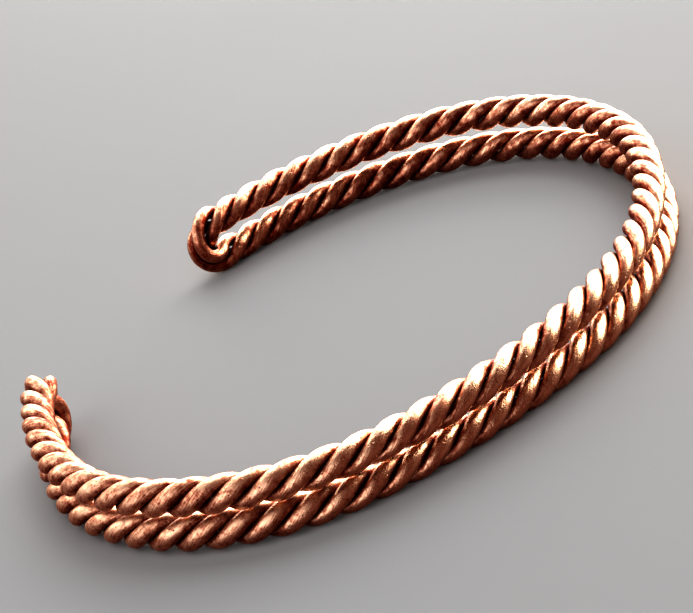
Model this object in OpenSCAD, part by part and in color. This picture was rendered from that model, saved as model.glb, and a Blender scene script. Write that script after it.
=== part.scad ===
// A cuff bracelet of twisted copper wire.
// Three wires are laid into one rope, and the rope is a closed loop. The loop is pressed flat, so that
// an upper and a lower run lie close together and turn into each other in a tight bend at each tip, and
// the flat loop is bent into an open C for the wrist. It lies on its side: the wrist goes through it
// along Z, and the opening between its tips faces -X. The origin is the middle of its footprint, on the
// surface that it lies on.
// Lengths are in millimetres and angles in degrees.

/* [Rope] */
// Diameter of each wire
wire_d = 1.25; // [1.1:0.05:1.25]
// Distance from the middle of the rope to the middle of each wire
lay_r = 0.815; // [0.815:0.005:0.835]
// Whole turns that each wire makes around the rope on its way round the closed loop
rope_turns = 37; // [32:1:37]
// Where the first wire starts, as an angle around the rope
first_angle = 66; // [60:1:72]

/* [Tip bends] */
// Share by which the wires open out in a tip bend
bend_spread = 0.14; // [0.12:0.01:0.18]
// Length of rope beside the bend in which the wires close up again
spread_reach = 3; // [2:0.5:4]

/* [Facets] */
// Flat sides around each wire
wire_sides = 6; // [5:1:6]
// Rings along each wire in one turn of the twist
rings_per_turn = 11; // [9:1:11]

/* [Hidden] */

copper = [0.76, 0.47, 0.36];

// The line of the cuff seen from above, as arcs that run on from each other. All bend the same way, from
// the tip at -Y round the closed side to the tip at +Y.
ARC_LENGTH = 0;
ARC_RADIUS = 1;
plan_arcs = [
    [14.3, 31.8],
    [30.6, 21.1],
    [22.2, 43.9],
    [26.5, 32.5],
    [11.2, 25.5],
    [18.3, 20.6],
    [24.2, 29.1]
];

// How the two runs lie to each other, at even steps from the first tip to the second: the height of the
// upper run's middle over the lower run's, and how far the lower run stands outside the upper one.
BAND_SPACING = 0;
BAND_LEAN = 1;
band_rows = [
    [4.25, 0.30],
    [3.45, -0.10],
    [2.95, -0.20],
    [3.05, 0.20],
    [3.90, 0.30],
    [3.95, 0.50],
    [3.75, 0.40]
];

// By how many degrees the twist of each run is off an even one, at distances along the plan. The rope is
// laid tighter at the start of the upper run and slacker at the start of the lower one.
upper_twist = [
    [0, 144], [20.5, 10], [34, -13], [52, -8], [66, 9], [84, -22], [98, -55], [116, -74], [130, -44],
    [143, -28], [147.3, -40]
];
lower_twist = [
    [0, 86], [11, -20], [18, -31], [36, -18], [62, -22], [84, -4], [96, -2], [114, 36], [130, 20],
    [143, 31], [147.3, 36]
];

wires = 3;
// The corners stand a little outside the round wire, so that the flat sides keep its thickness
corner_r = 1.03 * wire_d / 2;
low_z = lay_r + corner_r;
small_step = 0.05;

function unit(v) = v / norm(v);
function clamp(v, lowest, highest) = max(lowest, min(highest, v));
function smooth(f) = f * f * (3 - 2 * f);
function total(table, column, i = 0) = i < len(table) ? table[i][column] + total(table, column, i + 1) : 0;

run_length = total(plan_arcs, ARC_LENGTH);

// Each place on the plan is [x, y, heading]. This one lies a length past another, on an arc bent to the left.
function along_arc(from, length, radius) =
    let (heading = from[2] + length / radius * 180 / PI)
    [
        from[0] + radius * (sin(heading) - sin(from[2])),
        from[1] - radius * (cos(heading) - cos(from[2])),
        heading
    ];

// Where each arc starts, and how far along the plan that is
arc_starts = [
    for (i = 0, at = [0, 0, 0]; i < len(plan_arcs); at = along_arc(at, plan_arcs[i][ARC_LENGTH],
        plan_arcs[i][ARC_RADIUS]), i = i + 1) at
];
arc_offsets = [
    for (i = 0, d = 0; i < len(plan_arcs); d = d + plan_arcs[i][ARC_LENGTH], i = i + 1) d
];

function arc_index(d, i = 0) = i + 1 < len(plan_arcs) && d >= arc_offsets[i + 1] ? arc_index(d, i + 1) : i;

// The place a distance along the plan, which goes on straight past both ends
function raw_plan(d) =
    let (
        inside = clamp(d, 0, run_length),
        i = arc_index(inside),
        at = along_arc(arc_starts[i], inside - arc_offsets[i], plan_arcs[i][ARC_RADIUS]),
        past = d - inside
    )
    [at[0] + past * cos(at[2]), at[1] + past * sin(at[2]), at[2]];

// The plan is turned so that the line between the two tips lies along Y
tip_line = raw_plan(run_length);
turn = 90 - atan2(tip_line[1], tip_line[0]);

function turned_plan(d) =
    let (at = raw_plan(d))
    [at[0] * cos(turn) - at[1] * sin(turn), at[0] * sin(turn) + at[1] * cos(turn), at[2] + turn];

// Half the spacing at a tip is the radius of its bend
first_row = band_rows[0];
second_row = band_rows[len(band_rows) - 1];
first_r = first_row[BAND_SPACING] / 2;
second_r = second_row[BAND_SPACING] / 2;
first_bend = PI * first_r;
second_bend = PI * second_r;
loop_length = 2 * run_length + first_bend + second_bend;

function eased(from, to, share) = from + (to - from) * (1 - cos(180 * share)) / 2;

// A value from the band table, eased from row to row
function band_at(d, column) =
    let (
        last = len(band_rows) - 1,
        q = clamp(d / run_length, 0, 1) * last,
        i = min(floor(q), last - 1)
    )
    eased(band_rows[i][column], band_rows[i + 1][column], q - i);

// The rope's middle line runs along the upper run, down the second tip's bend, back along the lower run
// and up the first tip's bend. Each place on it is [distance along the plan, height, shift outwards,
// degrees off an even twist].
function loop_place(u) =
    u < run_length ?
        [u, low_z + band_at(u, BAND_SPACING), 0, lookup(u, upper_twist)] :
    u < run_length + second_bend ?
        let (f = (u - run_length) / second_bend)
        [
            run_length + second_r * sin(180 * f),
            low_z + second_r * (1 + cos(180 * f)),
            eased(0, second_row[BAND_LEAN], f),
            eased(lookup(run_length, upper_twist), lookup(run_length, lower_twist), f)
        ] :
    u < 2 * run_length + second_bend ?
        let (d = 2 * run_length + second_bend - u)
        [d, low_z, band_at(d, BAND_LEAN), lookup(d, lower_twist)] :
        let (f = (u - 2 * run_length - second_bend) / first_bend)
        [
            -first_r * sin(180 * f),
            low_z + first_r * (1 - cos(180 * f)),
            eased(first_row[BAND_LEAN], 0, f),
            eased(lookup(0, lower_twist), lookup(0, upper_twist), f)
        ];

function wrap(u) = u < 0 ? u + loop_length : u >= loop_length ? u - loop_length : u;

// One in a bend, and none further off than the reach
function bend_share(u, centre, half) =
    let (away = abs(u - centre), nearest = min(away, loop_length - away))
    smooth(clamp((half + spread_reach - nearest) / spread_reach, 0, 1));

// How much further out the wires stand here than on a straight run
function spread_at(u) =
    lay_r * bend_spread * (bend_share(u, run_length + second_bend / 2, second_bend / 2)
        + bend_share(u, loop_length - first_bend / 2, first_bend / 2));

function inwards(heading) = [-sin(heading), cos(heading), 0];

// The rope's middle line in space. It rises where the wires open out, because the rope lies on a surface.
function placed_middle(u) =
    let (w = wrap(u), place = loop_place(w), at = turned_plan(place[0]))
    [at[0], at[1], place[1] + spread_at(w)] - place[2] * inwards(at[2]);

samples = [for (u = [0 : loop_length]) placed_middle(u)];
sample_x = [for (at = samples) at[0]];
sample_y = [for (at = samples) at[1]];
footprint_middle = [(min(sample_x) + max(sample_x)) / 2, (min(sample_y) + max(sample_y)) / 2, 0];

function rope_middle(u) = placed_middle(u) - footprint_middle;

// The direction from the rope's middle to a wire. The lay is left-handed.
function wire_direction(u, wire) =
    let (
        w = wrap(u),
        place = loop_place(w),
        along = unit(rope_middle(u + small_step) - rope_middle(u - small_step)),
        upright = unit(cross(along, inwards(turned_plan(place[0])[2]))),
        level = cross(upright, along),
        a = first_angle + 360 * wire / wires - 360 * rope_turns * w / loop_length + place[3]
    )
    cos(a) * level + sin(a) * upright;

function wire_middle(u, wire) = rope_middle(u) + (lay_r + spread_at(wrap(u))) * wire_direction(u, wire);

// The corners of one cross-section of a wire. The first one points away from the rope's middle.
function wire_ring(u, wire) =
    let (
        centre = wire_middle(u, wire),
        along = unit(wire_middle(u + small_step, wire) - wire_middle(u - small_step, wire)),
        out = wire_direction(u, wire),
        away = unit(out - (out * along) * along),
        across = cross(along, away)
    )
    [for (i = [0 : wire_sides - 1])
        centre + corner_r * (cos(360 * i / wire_sides) * away + sin(360 * i / wire_sides) * across)];

// One closed ring of wire
module wire(number) {
    rings = rope_turns * rings_per_turn;
    points = [for (j = [0 : rings - 1]) each wire_ring(j * loop_length / rings, number)];
    triangles = [
        for (j = [0 : rings - 1], i = [0 : wire_sides - 1])
            let (
                here = j * wire_sides,
                next = (j + 1) % rings * wire_sides,
                beside = (i + 1) % wire_sides
            )
            each [[here + i, next + i, next + beside], [here + i, next + beside, here + beside]]
    ];
    color(copper) polyhedron(points = points, faces = triangles);
}

module wire_a() wire(0);
module wire_b() wire(1);
module wire_c() wire(2);

wire_a();
wire_b();
wire_c();
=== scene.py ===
import math

import bmesh
import bpy
from mathutils import Matrix, Vector, noise


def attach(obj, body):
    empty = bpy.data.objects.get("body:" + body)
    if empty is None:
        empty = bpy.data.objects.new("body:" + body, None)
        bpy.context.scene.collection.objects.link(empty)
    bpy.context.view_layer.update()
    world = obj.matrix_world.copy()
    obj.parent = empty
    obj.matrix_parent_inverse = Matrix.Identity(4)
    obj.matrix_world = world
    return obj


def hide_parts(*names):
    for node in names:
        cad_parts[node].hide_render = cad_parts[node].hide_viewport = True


# A cuff bracelet: a closed loop of three-strand copper rope, pressed flat and bent into a C
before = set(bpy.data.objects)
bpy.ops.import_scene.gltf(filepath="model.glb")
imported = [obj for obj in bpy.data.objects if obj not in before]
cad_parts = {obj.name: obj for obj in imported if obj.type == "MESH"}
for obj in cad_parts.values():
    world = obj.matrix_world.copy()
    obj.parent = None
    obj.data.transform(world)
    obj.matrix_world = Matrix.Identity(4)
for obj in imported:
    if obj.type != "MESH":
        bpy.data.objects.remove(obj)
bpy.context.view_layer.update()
mm = 0.001  # sizes are given in millimetres, and the scene is in metres
print("frame loaded:", sorted(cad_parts))


# Camera

camera = {
    "azimuth": 36.56,  # degrees; seen from in front of the first tip, a little to its right
    "elevation": 24.75,
    "roll": -20.89,  # the camera is held askew, so the cuff climbs to the right
    "distance": 190.3,  # from the point that it aims at
    "aim": (-1.32, -1.04, 3.2),
    "lens": 113.8,
    "clipStart": 10,
}


def addCamera():
    turn, tilt, roll = (math.radians(camera[name]) for name in ("azimuth", "elevation", "roll"))
    forward = Vector((-math.sin(turn) * math.cos(tilt), math.cos(turn) * math.cos(tilt), -math.sin(tilt)))
    level = Vector((math.cos(turn), math.sin(turn), 0))
    upright = level.cross(forward)
    across = math.cos(roll) * level + math.sin(roll) * upright
    data = bpy.data.cameras.new("camera")
    data.lens = camera["lens"]
    data.clip_start = camera["clipStart"] * mm
    made = bpy.data.objects.new("camera", data)
    bpy.context.collection.objects.link(made)
    made.matrix_world = Matrix((across, across.cross(forward), -forward)).transposed().to_4x4()
    made.location = (Vector(camera["aim"]) - camera["distance"] * forward) * mm
    bpy.context.scene.camera = made


addCamera()
print("camera set")


# The line of the rope

rope = {
    "wires": 3,
    "wireRadius": 0.64,
    "layRadius": 0.815,  # from the rope's middle to the middle of a wire
    "lowHeight": 1.459,  # the lower run's middle above the floor
    "turns": 37,  # of each wire around the rope, left-handed
    "firstAngle": 66,  # where the first wire starts, as an angle around the rope
    "bendSpread": 0.14,  # share by which the wires open out in a tip bend
    "spreadReach": 3,  # length of rope beside a tip bend in which they close up again
    # Distance along the plan, and the share by which the rope is laid fuller there
    "fuller": [(4, 0), (18, 0.055), (31, 0.055), (46, 0), (84, 0), (104, 0.065), (134, 0.065), (147, 0)],
}

cuff = {
    # Arcs of the plan, from the tip at -Y round the closed side: length, radius
    "arcs": [
        (14.3, 31.8), (30.6, 21.1), (22.2, 43.9), (26.5, 32.5), (11.2, 25.5), (18.3, 20.6), (24.2, 29.1),
    ],
    # At even steps along the plan: height of the upper run over the lower, and how far the lower stands
    # outside the upper
    "rows": [
        (4.25, 0.30), (3.45, -0.10), (2.95, -0.20), (3.05, 0.20), (3.90, 0.30), (3.95, 0.50), (3.75, 0.40),
    ],
    # Distance along the plan, and the degrees by which a run's twist is off an even one there
    "upper": [
        (0, 144), (20.5, 10), (34, -13), (52, -8), (66, 9), (84, -22), (98, -55), (116, -74), (130, -44),
        (143, -28), (147.3, -40),
    ],
    "lower": [
        (0, 86), (11, -20), (18, -31), (36, -18), (62, -22), (84, -4), (96, -2), (114, 36), (130, 20),
        (143, 31), (147.3, 36),
    ],
}
spacing, lean = range(2)  # the columns of the rows

runLength = sum(length for length, radius in cuff["arcs"])
firstRow, lastRow = cuff["rows"][0], cuff["rows"][-1]
firstRadius, lastRadius = firstRow[spacing] / 2, lastRow[spacing] / 2
firstBend, lastBend = math.pi * firstRadius, math.pi * lastRadius
loopLength = 2 * runLength + firstBend + lastBend


def clamp(value, lowest, highest):
    return max(lowest, min(highest, value))


def eased(start, end, share):
    return start + (end - start) * (1 - math.cos(math.pi * share)) / 2


# The place and heading a distance along the plan, which goes on straight past both ends
def planAt(distance):
    x = y = heading = 0
    left = clamp(distance, 0, runLength)
    past = distance - left
    for length, radius in cuff["arcs"]:
        step = min(left, length)
        turned = heading + step / radius
        x += radius * (math.sin(turned) - math.sin(heading))
        y -= radius * (math.cos(turned) - math.cos(heading))
        heading = turned
        left -= step
        if left <= 0:
            break
    return x + past * math.cos(heading), y + past * math.sin(heading), heading


tipX, tipY, _ = planAt(runLength)
planTurn = math.pi / 2 - math.atan2(tipY, tipX)  # brings the line between the tips along Y


def rowValue(distance, column):
    rows = cuff["rows"]
    place = clamp(distance / runLength, 0, 1) * (len(rows) - 1)
    row = min(int(place), len(rows) - 2)
    return eased(rows[row][column], rows[row + 1][column], place - row)


def twistOff(run, distance):
    steps = cuff[run]
    for (start, before), (end, after) in zip(steps, steps[1:]):
        if distance < end:
            break
    return before + (after - before) * clamp((distance - start) / (end - start), 0, 1)


# Distance along the plan, height over the lower run, shift outwards and twist offset, round the loop:
# the upper run, the second tip's bend, the lower run and the first tip's bend
def loopPlace(u):
    if u < runLength:
        return u, rowValue(u, spacing), 0, twistOff("upper", u)
    if u < runLength + lastBend:
        share = (u - runLength) / lastBend
        return (
            runLength + lastRadius * math.sin(math.pi * share),
            lastRadius * (1 + math.cos(math.pi * share)),
            eased(0, lastRow[lean], share),
            eased(cuff["upper"][-1][1], cuff["lower"][-1][1], share),
        )
    if u < 2 * runLength + lastBend:
        distance = 2 * runLength + lastBend - u
        return distance, 0, rowValue(distance, lean), twistOff("lower", distance)
    share = (u - 2 * runLength - lastBend) / firstBend
    return (
        -firstRadius * math.sin(math.pi * share),
        firstRadius * (1 - math.cos(math.pi * share)),
        eased(firstRow[lean], 0, share),
        eased(cuff["lower"][0][1], cuff["upper"][0][1], share),
    )


# One in a tip bend, and none further off than the reach
def bendShare(u, centre, half):
    away = abs(u - centre)
    nearest = min(away, loopLength - away)
    share = clamp((half + rope["spreadReach"] - nearest) / rope["spreadReach"], 0, 1)
    return share * share * (3 - 2 * share)


def inBends(u):
    inLast = bendShare(u, runLength + lastBend / 2, lastBend / 2)
    return inLast + bendShare(u, loopLength - firstBend / 2, firstBend / 2)


def spreadAt(u):
    return rope["layRadius"] * rope["bendSpread"] * inBends(u)


def fullness(distance):
    steps = rope["fuller"]
    for (start, before), (end, after) in zip(steps, steps[1:]):
        if distance < end:
            break
    return 1 + eased(before, after, clamp((distance - start) / (end - start), 0, 1))


# The rope's middle at a place on the loop, and the level direction into the C. Where the rope is fuller,
# its runs grow into the gap between them
def middleAt(u):
    distance, height, shift, _ = loopPlace(u)
    grown = (fullness(distance) - 1) * (rope["layRadius"] + rope["wireRadius"])
    height += grown * (1 - 2 * height / rowValue(distance, spacing))
    x, y, heading = planAt(distance)
    inwards = Vector((-math.sin(heading + planTurn), math.cos(heading + planTurn), 0))
    turned = Vector((
        x * math.cos(planTurn) - y * math.sin(planTurn),
        x * math.sin(planTurn) + y * math.cos(planTurn),
        rope["lowHeight"] + height + spreadAt(u),
    ))
    return turned - shift * inwards, inwards


# The three wires

wireMesh = {
    "ringsPerTurn": 72,
    "sides": 24,
    "joinAt": 0.68,  # share of the loop where a wire's two ends meet, on the far side of the lower run
    "weld": 0.0001,  # how close two points of the join are to become one
}

# Handling and wear
wear = {
    "pressed": 0.08,  # share by which a wire's flanks are wider, where the wires are pressed together
    "pressedUntil": 115,  # degrees round from the outermost line; further in, the wires nearly touch
    "dullUntil": 30,  # distance along the plan at which the dull copper of the first tip starts to shine
    "shinyFrom": 48,
    "ripple": 0.012,  # the wire's slow unevenness
    "rippleLength": 2.4,
    "rubbed": 0.035,  # how far the outermost line is rubbed down where it is rubbed most
    "rubbedShare": 0.5,  # of that on average, and how much it varies along the wire
    "rubbedSwing": 0.9,
    "rubbedLength": 5,
    "rubbedUntil": 60,  # degrees round from the outermost line
    "dentPitch": 1.5,
    "dentRadius": 0.34,
    "dentDepth": 0.035,
}


# Evenly spaced rings round the loop, each with what the three wires need to know there
def ropeRings():
    count = rope["turns"] * wireMesh["ringsPerTurn"]
    start = wireMesh["joinAt"] * loopLength
    places = [(start + ring * loopLength / count) % loopLength for ring in range(count)]
    middles = [middleAt(u) for u in places]
    lows = [min(middle[axis] for middle, inwards in middles) for axis in range(2)]
    highs = [max(middle[axis] for middle, inwards in middles) for axis in range(2)]
    centre = Vector(((lows[0] + highs[0]) / 2, (lows[1] + highs[1]) / 2, 0))
    rings = []
    for row, u in enumerate(places):
        middle, inwards = middles[row]
        along = (middles[(row + 1) % count][0] - middles[row - 1][0]).normalized()
        upright = along.cross(inwards).normalized()
        level = upright.cross(along)
        distance, _, _, offEven = loopPlace(u)
        full = fullness(distance)
        shiny = (distance - wear["dullUntil"]) / (wear["shinyFrom"] - wear["dullUntil"])
        rings.append({
            "middle": middle - centre,
            "level": level,
            "upright": upright,
            "twist": offEven - 360 * rope["turns"] * u / loopLength,
            "lay": full * (rope["layRadius"] + spreadAt(u)),  # from the rope's middle out to the wires
            "full": full,
            "dull": 1 - clamp(shiny, 0, 1),
            "pressed": wear["pressed"] * (1 - inBends(u)),
        })
    return rings


# The radius at a place on the round wire; around is the angle from its outermost line
def wornRadius(place, around, pressed):
    radius = rope["wireRadius"]
    radius -= wear["ripple"] * (0.5 + 0.5 * noise.noise(place / wear["rippleLength"]))
    rubbed = wear["rubbedShare"] + wear["rubbedSwing"] * noise.noise(place / wear["rubbedLength"])
    flat = rope["wireRadius"] - wear["rubbed"] * clamp(rubbed, 0, 1)
    if abs(around) < math.radians(wear["rubbedUntil"]):
        radius = min(radius, flat / math.cos(around))
    nearest = noise.voronoi(place / wear["dentPitch"])[0][0] * wear["dentPitch"]
    dent = clamp(1 - (nearest / wear["dentRadius"]) ** 2, 0, 1)
    # A flank is widest a quarter of the way round, and narrows faster past it than before it
    onward = math.degrees(abs(around)) - 90
    flankAngle = 90 + onward * (90 / (wear["pressedUntil"] - 90) if onward > 0 else 1)
    wider = pressed * math.sin(math.radians(min(flankAngle, 180))) ** 2
    return (radius - wear["dentDepth"] * dent * dent) * (1 + wider)


# A flat sheet is cut into rings and sides, and rolled round the wire's line; its edges are then joined
def makeWire(letter, number, rings, finish):
    name = f"twisted_wire_{letter}"
    startAngle = rope["firstAngle"] + 360 * number / rope["wires"]
    outs = []
    for ring in rings:
        angle = math.radians(startAngle + ring["twist"])
        outs.append(math.cos(angle) * ring["level"] + math.sin(angle) * ring["upright"])
    centres = [ring["middle"] + ring["lay"] * out for ring, out in zip(rings, outs)]
    count, sides = len(rings), wireMesh["sides"]
    shape = bmesh.new()
    shape.loops.layers.uv.new("unrolled")
    facingInside = shape.verts.layers.float.new("facingInside")
    dull = shape.verts.layers.float.new("dull")
    bmesh.ops.create_grid(shape, x_segments=count, y_segments=sides, size=0.5, calc_uvs=True)
    for vert in shape.verts:
        row = round((vert.co.x + 0.5) * count) % count
        around = 2 * math.pi * (round((vert.co.y + 0.5) * sides) % sides) / sides - math.pi
        ring, centre, out = rings[row], centres[row], outs[row]
        along = (centres[(row + 1) % count] - centres[row - 1]).normalized()
        away = (out - out.dot(along) * along).normalized()
        direction = math.cos(around) * away + math.sin(around) * along.cross(away)
        onWire = centre + rope["wireRadius"] * direction
        radius = ring["full"] * wornRadius(onWire, around, ring["pressed"])
        vert.co = (centre + radius * direction) * mm
        # How much the point faces into the C; the metal is made darker and browner there
        vert[facingInside] = clamp(direction.dot(ring["level"]), 0, 1)
        vert[dull] = ring["dull"]
    edges = [vert for vert in shape.verts if vert.is_boundary]
    bmesh.ops.remove_doubles(shape, verts=edges, dist=wireMesh["weld"] * mm)
    bmesh.ops.recalc_face_normals(shape, faces=shape.faces)
    for face in shape.faces:
        face.smooth = True
    data = bpy.data.meshes.new(name)
    shape.to_mesh(data)
    shape.free()
    wire = bpy.data.objects.new(name, data)
    bpy.context.collection.objects.link(wire)
    data.materials.append(finish)
    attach(wire, "root")
    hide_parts(f"wire_{letter}")
    print(name, "made:", len(data.vertices), "points")


# Materials

mixFrom, mixTo, mixed = 6, 7, 2  # the colour sockets of a Mix node, two in and one out


# From an sRGB hex value to the linear colour that nodes and lights take
def colour(code):
    values = [int(code[i:i + 2], 16) / 255 for i in (1, 3, 5)]
    return [v / 12.92 if v <= 0.04045 else ((v + 0.055) / 1.055) ** 2.4 for v in values] + [1]


# Adds a node; inputs maps a socket's name or number to a value or to another node's output
def addNode(tree, kind, inputs=None, **settings):
    node = tree.nodes.new(kind)
    for name, value in settings.items():
        setattr(node, name, value)
    for socket, value in (inputs or {}).items():
        if isinstance(value, bpy.types.NodeSocket):
            tree.links.new(value, node.inputs[socket])
        else:
            node.inputs[socket].default_value = value
    return node


def newMaterial(name):
    made = bpy.data.materials.new(name)
    made.use_nodes = True
    made.node_tree.nodes.clear()
    return made, made.node_tree


copper = {
    "bright": "#f0caab",  # rubbed metal on the crests
    "warm": "#bd856c",  # thin tarnish
    "brown": "#6f2717",  # old tarnish
    "grooveShadeAndPatina": "#50120a",  # the bottom of the grooves: partly patina, partly painted shade
    "speck": "#4a2010",  # the dirt in the pits
    "speckShare": 0.75,
    # Cloudy patterns: size, detail and roughness. Real grain is finer, and would not show
    "clouds": {"patches": (7, 3, 0.6), "mottles": (0.7, 5, 0.7), "grain": (0.14, 3, 0.65)},
    # Drawing lines along the wire: real ones are finer too
    "streakLength": 3.5,
    "streakWidth": 0.13,
    "streakDetail": 3,
    "streakRoughness": 0.6,
    "pitPitch": 0.62,
    "pitRadius": 0.12,
    # Where the flank and the groove begin and are full, from the crest, as shares of the girth
    "flankFrom": 0.1,
    "flankFull": 0.28,
    "grooveFrom": 0.26,
    "grooveFull": 0.4,
    # Tarnish is this level plus each of these times its share, cut to between 0 and 1
    "tarnishLevel": -2.52,
    "tarnish": {
        # the share for the side facing into the C makes the metal darker and browner there
        "patches": 1.1, "mottles": 2.3, "streaks": 1.3, "flank": 0.48, "facingInside": 0.45, "dull": 0.18,
        "grain": 0.7,
    },
    # The tarnish at which the metal starts to turn warm or brown, and is
    "warmFrom": 0.15,
    "warmFull": 0.55,
    "brownFrom": 0.5,
    "brownFull": 1.0,
    "cleanRoughness": 0.14,
    "tarnishRoughness": 0.38,
    "grainRoughness": 0.14,
    "dullRoughness": 0.13,
    # The relief is the grain plus each of these times its share
    "relief": {"streaks": 1.3, "mottles": 0.8, "pits": -1.6},
    "bumpStrength": 0.8,
    "bumpHeight": 0.025,
}


# Drawn copper wire, twisted by hand and worn: bright rosy metal where it is rubbed, a brown skin of old
# tarnish that thickens towards the grooves and the first tip, drawing lines along the wire and small dark
# pits.
# The metal is also darker and browner on the side facing into the C, and the groove bottoms are near
# black:
# partly patina, partly painted shade
def wornCopper():
    material, tree = newMaterial("worn drawn copper wire")
    girth = 2 * math.pi * rope["wireRadius"]
    wireLength = loopLength * math.hypot(1, 2 * math.pi * rope["turns"] * rope["layRadius"] / loopLength)
    coords = addNode(tree, "ShaderNodeTexCoord")
    inMm = addNode(tree, "ShaderNodeMapping", {"Vector": coords.outputs["Object"], "Scale": (1 / mm,) * 3})
    layers = {}
    for name, (size, detail, roughness) in copper["clouds"].items():
        cloud = addNode(tree, "ShaderNodeTexNoise", {
            "Vector": inMm.outputs[0], "Scale": 1 / size, "Detail": detail, "Roughness": roughness})
        layers[name] = cloud.outputs["Fac"]
    unrolled = addNode(tree, "ShaderNodeUVMap", uv_map="unrolled")
    alongWire = addNode(tree, "ShaderNodeMapping", {
        "Vector": unrolled.outputs[0],
        "Scale": (wireLength / copper["streakLength"], girth / copper["streakWidth"], 1)})
    streaks = addNode(tree, "ShaderNodeTexNoise", {
        "Vector": alongWire.outputs[0], "Scale": 1, "Detail": copper["streakDetail"],
        "Roughness": copper["streakRoughness"]})
    layers["streaks"] = streaks.outputs["Fac"]
    pits = addNode(tree, "ShaderNodeTexVoronoi", {
        "Vector": inMm.outputs[0], "Scale": 1 / copper["pitPitch"], "Randomness": 1})
    pitted = addNode(tree, "ShaderNodeMapRange", {
        "Value": pits.outputs["Distance"], "From Max": copper["pitRadius"] / copper["pitPitch"],
        "To Min": 1, "To Max": 0}, interpolation_type="SMOOTHSTEP")
    layers["pits"] = pitted.outputs[0]

    # How far round from the crest: 0 there, and half the girth at the wire's innermost line
    split = addNode(tree, "ShaderNodeSeparateXYZ", {0: unrolled.outputs[0]})
    offCrest = addNode(tree, "ShaderNodeMath", {0: split.outputs["Y"], 1: 0.5}, operation="SUBTRACT")
    inGroove = addNode(tree, "ShaderNodeMath", {0: offCrest.outputs[0]}, operation="ABSOLUTE")
    for name in ("flank", "groove"):
        reached = addNode(tree, "ShaderNodeMapRange", {
            "Value": inGroove.outputs[0], "From Min": copper[f"{name}From"],
            "From Max": copper[f"{name}Full"]}, interpolation_type="SMOOTHSTEP")
        layers[name] = reached.outputs[0]
    for name in ("facingInside", "dull"):
        layers[name] = addNode(tree, "ShaderNodeAttribute", attribute_name=name).outputs["Fac"]

    tarnish = copper["tarnishLevel"]
    for name, share in copper["tarnish"].items():
        added = addNode(tree, "ShaderNodeMath", {
            0: layers[name], 1: share, 2: tarnish}, operation="MULTIPLY_ADD")
        tarnish = added.outputs[0]
    added.use_clamp = True
    for name in ("warm", "brown"):
        reached = addNode(tree, "ShaderNodeMapRange", {
            "Value": tarnish, "From Min": copper[f"{name}From"], "From Max": copper[f"{name}Full"]})
        layers[name] = reached.outputs[0]
    specks = addNode(tree, "ShaderNodeMath", {
        0: layers["pits"], 1: copper["speckShare"]}, operation="MULTIPLY")
    layers["specks"] = specks.outputs[0]
    shade = colour(copper["bright"])
    # The groove bottoms are mixed to near black: partly patina, partly painted shade
    for name, code in (("warm", "warm"), ("brown", "brown"), ("groove", "grooveShadeAndPatina"), ("specks", "speck")):
        laid = addNode(tree, "ShaderNodeMix", {
            0: layers[name], mixFrom: shade, mixTo: colour(copper[code])}, data_type="RGBA")
        shade = laid.outputs[mixed]

    roughness = addNode(tree, "ShaderNodeMapRange", {
        "Value": tarnish, "To Min": copper["cleanRoughness"], "To Max": copper["tarnishRoughness"]})
    for name in ("grain", "dull"):
        roughness = addNode(tree, "ShaderNodeMath", {
            0: layers[name], 1: copper[f"{name}Roughness"], 2: roughness.outputs[0]},
            operation="MULTIPLY_ADD")
    height = layers["grain"]
    for name, share in copper["relief"].items():
        added = addNode(tree, "ShaderNodeMath", {
            0: layers[name], 1: share, 2: height}, operation="MULTIPLY_ADD")
        height = added.outputs[0]
    bump = addNode(tree, "ShaderNodeBump", {
        "Height": height, "Strength": copper["bumpStrength"], "Distance": copper["bumpHeight"] * mm})
    surface = addNode(tree, "ShaderNodeBsdfPrincipled", {
        "Base Color": shade, "Metallic": 1, "Roughness": roughness.outputs[0], "Normal": bump.outputs[0]})
    addNode(tree, "ShaderNodeOutputMaterial", {"Surface": surface.outputs[0]})
    return material


copperFinish = wornCopper()
ringsOfRope = ropeRings()
for number, letter in enumerate("abc"):
    makeWire(letter, number, ringsOfRope, copperFinish)


# Floor, light and surroundings

studio = {
    "board": "#868687",
    "boardPaintedReflection": "#5e362e",  # painted reflection: a darker red-brown that the board shows only where the copper mirrors it
    "boardSize": 900,
    "boardCloud": 1000 / 6,  # size of its slow unevenness
    "boardDetail": 3,
    "boardRoughness": (0.7, 0.85),
    "boardSheen": 0.2,
    "surround": "#8c8886",
    "surroundMirrored": "#aa6858",
    "surroundStrength": 0.3,
    # Soft boxes: direction from the cuff as seen by the camera (right, away, up), distance, width, height,
    # watts, tint, whether it lights the board and whether it shines in the metal
    "boxes": {
        "top": ((0.3, 0.6, 1.0), 430, 400, 440, 1.7, "#ffffff", True, True),
        "back": ((0.4, 1.0, 0.34), 430, 700, 330, 4.1, "#fffcf6", False, True),
        "right": ((1.0, 0.36, 0.5), 430, 560, 480, 5.3, "#fff6e6", False, True),
        "left": ((-1.0, -0.2, 0.6), 440, 560, 520, 0.46, "#ffffff", True, True),
        "behindLeft": ((-0.75, 0.6, 0.45), 430, 220, 240, 0.5, "#fffaf0", False, True),
        "topLeft": ((-0.6, 0.6, 1.0), 430, 300, 360, 0.25, "#fffaf0", False, True),
        "front": ((-1.0, -0.75, 0.35), 440, 600, 420, 0.85, "#fff6f4", False, True),
        "board": ((-0.2, -0.8, 1.0), 440, 700, 600, 1.9, "#ffffff", True, False),
    },
}
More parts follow.
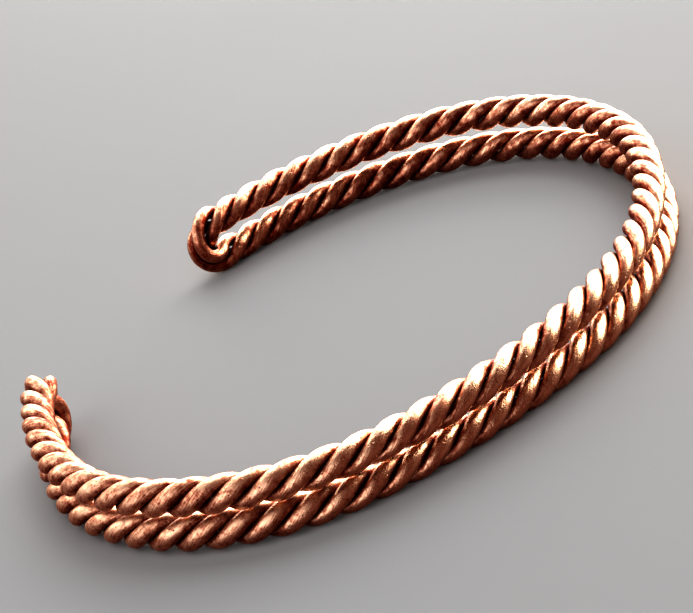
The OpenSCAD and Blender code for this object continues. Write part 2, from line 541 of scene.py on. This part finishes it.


# Board under matte rolled paint: no gloss, and faint clouds where the paint is uneven. Where the copper
# mirrors it, the board turns a darker red-brown: a painted reflection
def paintedBoard():
    material, tree = newMaterial("matte painted board")
    coords = addNode(tree, "ShaderNodeTexCoord")
    cloud = addNode(tree, "ShaderNodeTexNoise", {
        "Vector": coords.outputs["Object"], "Scale": 1 / (studio["boardCloud"] * mm),
        "Detail": studio["boardDetail"]})
    smoothest, roughest = studio["boardRoughness"]
    roughness = addNode(tree, "ShaderNodeMapRange", {
        "Value": cloud.outputs["Fac"], "To Min": smoothest, "To Max": roughest})
    # Painted reflection: seen in the copper, the board takes a darker red-brown colour
    path = addNode(tree, "ShaderNodeLightPath")
    boardWithPaintedReflection = addNode(tree, "ShaderNodeMix", {
        0: path.outputs["Is Glossy Ray"], mixFrom: colour(studio["board"]),
        mixTo: colour(studio["boardPaintedReflection"])}, data_type="RGBA")
    surface = addNode(tree, "ShaderNodeBsdfPrincipled", {
        "Base Color": boardWithPaintedReflection.outputs[mixed], "Roughness": roughness.outputs[0],
        "Specular IOR Level": studio["boardSheen"]})
    addNode(tree, "ShaderNodeOutputMaterial", {"Surface": surface.outputs[0]})
    return material


def addFloor():
    shape = bmesh.new()
    bmesh.ops.create_grid(shape, x_segments=1, y_segments=1, size=studio["boardSize"] / 2 * mm)
    data = bpy.data.meshes.new("floor")
    shape.to_mesh(data)
    shape.free()
    floor = bpy.data.objects.new("floor", data)
    bpy.context.collection.objects.link(floor)
    data.materials.append(paintedBoard())


def addLights():
    turn = math.radians(camera["azimuth"])
    right = Vector((math.cos(turn), math.sin(turn), 0))
    away = Vector((-math.sin(turn), math.cos(turn), 0))
    for name, (side, distance, width, height, power, tint, onBoard, inMetal) in studio["boxes"].items():
        direction = (side[0] * right + side[1] * away + Vector((0, 0, side[2]))).normalized()
        data = bpy.data.lights.new(name, "AREA")
        data.shape = "RECTANGLE"
        data.size = width * mm
        data.size_y = height * mm
        data.energy = power
        data.color = colour(tint)[:3]
        lamp = bpy.data.objects.new(name, data)
        bpy.context.collection.objects.link(lamp)
        lamp.visible_diffuse = onBoard
        lamp.visible_glossy = inMetal
        lamp.location = direction * distance * mm
        lamp.rotation_euler = direction.to_track_quat("Z", "Y").to_euler()
    world = bpy.data.worlds.new("studio")
    world.use_nodes = True
    background = world.node_tree.nodes["Background"]
    path = addNode(world.node_tree, "ShaderNodeLightPath")
    around = addNode(world.node_tree, "ShaderNodeMix", {
        0: path.outputs["Is Glossy Ray"], mixFrom: colour(studio["surround"]),
        mixTo: colour(studio["surroundMirrored"])}, data_type="RGBA")
    world.node_tree.links.new(around.outputs[mixed], background.inputs["Color"])
    background.inputs["Strength"].default_value = studio["surroundStrength"]
    bpy.context.scene.world = world
    bpy.context.scene.view_settings.view_transform = "Standard"
    bpy.context.scene.view_settings.look = "High Contrast"


addFloor()
addLights()
print("floor and lights set")


# Bring the scene up to date

bpy.context.view_layer.update()
